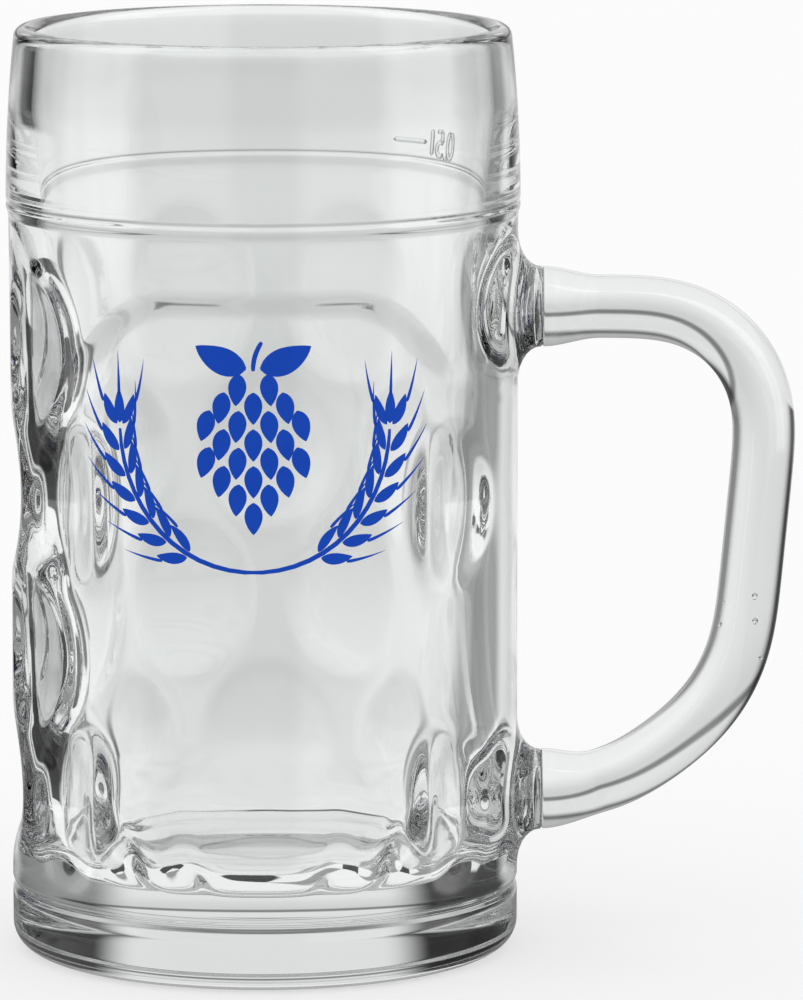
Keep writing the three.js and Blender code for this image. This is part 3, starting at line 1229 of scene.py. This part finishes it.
@dataclass
class FillMark:
    """The moulded fill mark at the back of the rim zone: the figures and a line at the half-litre level.

    Places of the figures are millimetres to the right of the mark's left end, seen from behind the mug.
    """

    body: DimpledBody
    left_angle: float = 32.4
    line_angles: Span = (44.2, 56.0)
    level: float = 133.7
    figure_height: float = 5.2
    nought_middle: float = 1.1
    nought_half_width: float = 1.05
    comma_place: float = 2.95
    comma_over: float = 0.3
    comma_lean: float = 0.35
    comma_length: float = 1.0
    five_left: float = 4.2
    five_bar: float = 1.6
    five_lean: float = 0.15
    five_waist: float = 0.2
    bowl_middle: float = 4.75
    bowl_half_width: float = 1.15
    bowl_half_height: float = 1.4
    bowl_start: float = 140.0
    bowl_sweep: float = 290.0
    letter_place: float = 7.5
    letter_over: float = 0.4
    stroke_half_width: float = 0.55
    stroke_height: float = 0.55
    end_power: int = 10
    end_least: float = 0.01
    rim_points: int = 60
    stations: int = 25
    sides: int = 10

    def strokes(self) -> list[np.ndarray]:
        """Middle lines of the strokes: a closed oval, straight lines and an open oval arc.

        Returns:
            For each stroke, points with distance to the right and distance up from the level.
        """
        share = np.linspace(0.0, 1.0, self.stations)
        level = np.zeros(self.stations)
        half = self.figure_height / 2
        scale = math.radians(1.0) * self.body.step_radius
        start, end = ((angle - self.left_angle) * scale for angle in self.line_angles)
        turn = 2.0 * np.pi * share
        open_turn = np.radians(self.bowl_start - self.bowl_sweep * share)
        nought = (self.nought_middle + self.nought_half_width * np.sin(turn), half * np.cos(turn))
        comma_top = self.comma_over - half
        comma = (self.comma_place - self.comma_lean * share, comma_top - self.comma_length * share)
        five_bar = (self.five_left + self.five_bar * share, level + half)
        five_back = (self.five_left - self.five_lean * share, half - (half - self.five_waist) * share)
        five_bowl = (
            self.bowl_middle + self.bowl_half_width * np.cos(open_turn),
            self.five_waist - half / 2 + self.bowl_half_height * np.sin(open_turn),
        )
        top = half + self.letter_over
        letter = (level + self.letter_place, top - (half + top) * share)
        line = (start + (end - start) * share, level)
        strokes = (nought, comma, five_bar, five_back, five_bowl, letter, line)
        return [np.column_stack(stroke) for stroke in strokes]

    def build(self, materials: list[bpy.types.Material]) -> bpy.types.Object:
        """Builds the mark as oval cords laid on the wall, with round ends and their undersides in the wall.

        Args:
            materials: Materials of the glass and of the welds.

        Returns:
            The mark's object.
        """
        rim_radius, rim_height = self.body.rim_curve(np.linspace(0.0, 1.0, self.rim_points))
        from_middle = np.linspace(-1.0, 1.0, self.stations)
        size = np.sqrt(np.maximum(1.0 - from_middle**self.end_power, self.end_least))[:, None]
        turn = full_turn(self.sides)
        aside = size * self.stroke_half_width * np.cos(turn)
        lift = size * self.stroke_height * np.sin(turn)
        draft = Draft()
        for line in self.strokes():
            along = unit(np.gradient(line, axis=0))
            right = line[:, :1] + along[:, 1:] * aside
            height = line[:, 1:] - along[:, :1] * aside + self.level
            radius = np.interp(height, rim_height, rim_radius) + lift
            angle = math.radians(self.left_angle) + right / self.body.step_radius
            draft.add_skin(around(radius, angle, height)[:, ::-1])
        mark = draft.to_object("fill_mark", materials)
        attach(mark, "root")
        return mark


@dataclass
class Studio:
    """Plain pale floor, a soft even light on matt things, a surround for the glass to show, and the camera.

    Directions are unit vectors. A pair gives where a soft edge begins and where it ends: for panels the
    cosine of the angle from the panel's middle, for heights the direction's share along +Z.
    """

    image_height: float = 1000.0
    focal_pixels: float = 7422.9
    sensor: float = 36.0
    camera_place: tuple[float, float, float] = (0.02373, -1.2677, 0.2726)
    camera_pitch: float = 8.739
    clip_end: float = 100.0
    glass_bounces: int = 28
    mirror_bounces: int = 16
    floor_radius: float = 30.0
    bright: float = 0.83
    panel_bearings: tuple[float, ...] = (0.0, 90.0, -98.0, -135.0)
    near_bearings: tuple[float, ...] = (45.0,)
    backdrop_bearings: tuple[float, ...] = (0.0, -135.0)
    panel_edge: Span = (0.85, 0.94)
    aside: float = 0.06
    aside_right: float = 0.3
    right_edge: Span = (0.2, 0.6)
    near_edge: Span = (-0.225, -0.245)
    ground_slope: Span = (-0.32, -0.02)
    ground_near: float = 1.16
    ground_far: float = 0.86
    room: float = 0.02
    backdrop_top: Span = (0.28, 0.4)
    ceiling: float = 0.55
    ceiling_edge: Span = (0.34, 0.48)
    skyline: Span = (0.0, 0.09)
    horizon: float = 0.05
    horizon_edge: Span = (0.01, 0.055)
    horizon_dim: float = 0.3
    plain: float = 1.0
    glow: float = 1.4
    glow_back: float = 0.18
    glow_edge: Span = (0.42, 0.24)
    glow_foot: Span = (-0.2, -0.165)
    foot_dim: float = 0.25

    def camera(self) -> bpy.types.Object:
        """Makes the camera at the photograph's angle.

        Returns:
            The camera's object.
        """
        lens = bpy.data.cameras.new("camera")
        lens.sensor_width = self.sensor
        lens.lens = self.focal_pixels / self.image_height * self.sensor
        lens.clip_end = self.clip_end
        camera = bpy.data.objects.new("camera", lens)
        camera.location = self.camera_place
        camera.rotation_euler = (math.radians(90.0 - self.camera_pitch), 0.0, 0.0)
        bpy.context.scene.collection.objects.link(camera)
        bpy.context.scene.camera = camera
        return camera

    def floor(self, finish: FloorFinish) -> bpy.types.Object:
        """Makes the floor, a wide flat square that shows in the picture and not in the glass.

        Args:
            finish: The floor's finish.

        Returns:
            The floor's object.
        """
        reach = self.floor_radius
        mesh = bpy.data.meshes.new("floor")
        corners = [(-reach, -reach, 0.0), (reach, -reach, 0.0), (reach, reach, 0.0), (-reach, reach, 0.0)]
        mesh.from_pydata(corners, [], [(0, 1, 2, 3)])
        mesh.materials.append(finish.material())
        floor = bpy.data.objects.new("floor", mesh)
        floor.visible_transmission = False
        floor.visible_glossy = False
        bpy.context.scene.collection.objects.link(floor)
        return floor

    def world(self) -> bpy.types.World:
        """Makes the surround.

        The camera sees plain white, and matt surfaces a plain even light. Glass sees a ground that is bright
        in front of each panel and dark between them and falls off a little towards the horizon, a dim band
        along the horizon, and above it a dark room with lit backdrops and a pale ceiling. Mirrored light also
        meets a lit panel on each side, which ends above the table, and a dim ground under it.

        Returns:
            The world.
        """
        world = bpy.data.worlds.new("studio")
        world.use_nodes = True
        world.node_tree.nodes.clear()
        bench = NodeBench(world.node_tree)
        look = bench.add("ShaderNodeSeparateXYZ")
        bench.feed(look.inputs[0], bench.add("ShaderNodeTexCoord").outputs["Generated"])
        x, y, z = look.outputs
        squares = bench.math("ADD", bench.math("MULTIPLY", x, x), bench.math("MULTIPLY", y, y))
        level = bench.math("SQRT", squares)
        ahead = bench.math("DIVIDE", y, level)
        east = bench.math("DIVIDE", x, level)
        between = bench.rise(east, *self.right_edge, self.aside, self.aside_right)
        far = bench.mix(self.facing(bench, east, ahead, self.panel_bearings), between, self.bright)
        near = bench.mix(self.facing(bench, east, ahead, self.near_bearings), far, self.bright)
        ground = bench.mix(bench.rise(z, *self.near_edge, 0.0, 1.0), far, near)
        falling = bench.rise(z, *self.ground_slope, self.ground_near, self.ground_far)
        ground = bench.math("MULTIPLY", ground, falling)
        backdrop = bench.mix(self.facing(bench, east, ahead, self.backdrop_bearings), self.room, self.bright)
        wall = bench.rise(z, *self.backdrop_top, backdrop, self.room)
        sky = bench.rise(z, *self.ceiling_edge, wall, self.ceiling)
        open_view = bench.mix(bench.rise(z, *self.skyline, 0.0, 1.0), ground, sky)
        from_horizon = bench.math("ABSOLUTE", bench.math("SUBTRACT", z, self.horizon))
        dimmed = bench.rise(from_horizon, *self.horizon_edge, self.horizon_dim, 1.0)
        through = bench.math("MULTIPLY", open_view, dimmed)
        path = bench.add("ShaderNodeLightPath").outputs
        from_side = bench.math("ABSOLUTE", bench.math("ADD", ahead, self.glow_back))
        side = bench.rise(from_side, *self.glow_edge, 0.0, bench.rise(z, *self.glow_foot, 0.0, self.glow))
        under_side = bench.rise(z, *self.glow_foot, self.foot_dim, 1.0)
        reflected = bench.math("MULTIPLY_ADD", through, under_side, side)
        mirrored_ray = bench.math("SUBTRACT", path["Is Glossy Ray"], path["Is Transmission Ray"])
        glass_sees = bench.mix(bench.math("MAXIMUM", mirrored_ray, 0.0), through, reflected)
        matt_sees = bench.mix(path["Is Diffuse Ray"], glass_sees, self.plain)
        seen = bench.mix(path["Is Camera Ray"], matt_sees, 1.0)
        light = bench.add("ShaderNodeBackground", {"Color": WHITE, "Strength": seen})
        bench.add("ShaderNodeOutputWorld", {"Surface": light.outputs[0]})
        bpy.context.scene.world = world
        return world

    def facing(
        self,
        bench: NodeBench,
        east: bpy.types.NodeSocket,
        ahead: bpy.types.NodeSocket,
        bearings: tuple[float, ...],
    ) -> object:
        """Whether a direction meets one of the panels that stand round the mug.

        Args:
            bench: The world's bench.
            east: Share of the level direction along +X.
            ahead: Share of the level direction along +Y.
            bearings: Where the panels stand, in degrees from +Y towards -X.

        Returns:
            One on a panel and nought beside it, with a soft edge.
        """
        met: object = 0.0
        for bearing in bearings:
            turn = math.radians(bearing)
            across = bench.math("MULTIPLY", east, -math.sin(turn))
            squarely = bench.math("MULTIPLY_ADD", ahead, math.cos(turn), across)
            met = bench.math("MAXIMUM", bench.rise(squarely, *self.panel_edge, 0.0, 1.0), met)
        return met

    def build(self) -> None:
        """Sets up the studio, the picture's plain colours and how far light is followed through the glass."""
        scene = bpy.context.scene
        scene.view_settings.view_transform = "Standard"
        scene.cycles.max_bounces = self.glass_bounces
        scene.cycles.transmission_bounces = self.glass_bounces
        scene.cycles.glossy_bounces = self.mirror_bounces
        scene.cycles.transparent_max_bounces = self.mirror_bounces
        self.floor(FloorFinish())
        self.world()
        self.camera()


def main() -> None:
    """Builds the mug piece by piece, then the studio round it."""
    logging.basicConfig(level=logging.INFO, format="%(name)s: %(message)s")
    glass = [GlassFinish().material(), WeldFinish().material()]
    body = DimpledBody()
    made = [
        body.build(glass),
        WeldedHandle(body).build(glass),
        FillMark(body).build(glass),
        PanelPrint(body).build(EnamelFinish()),
    ]
    for piece in made:
        LOG.info("%s has %d faces", piece.name, len(piece.data.polygons))
    Studio().build()


if __name__ == "__main__":
    main()
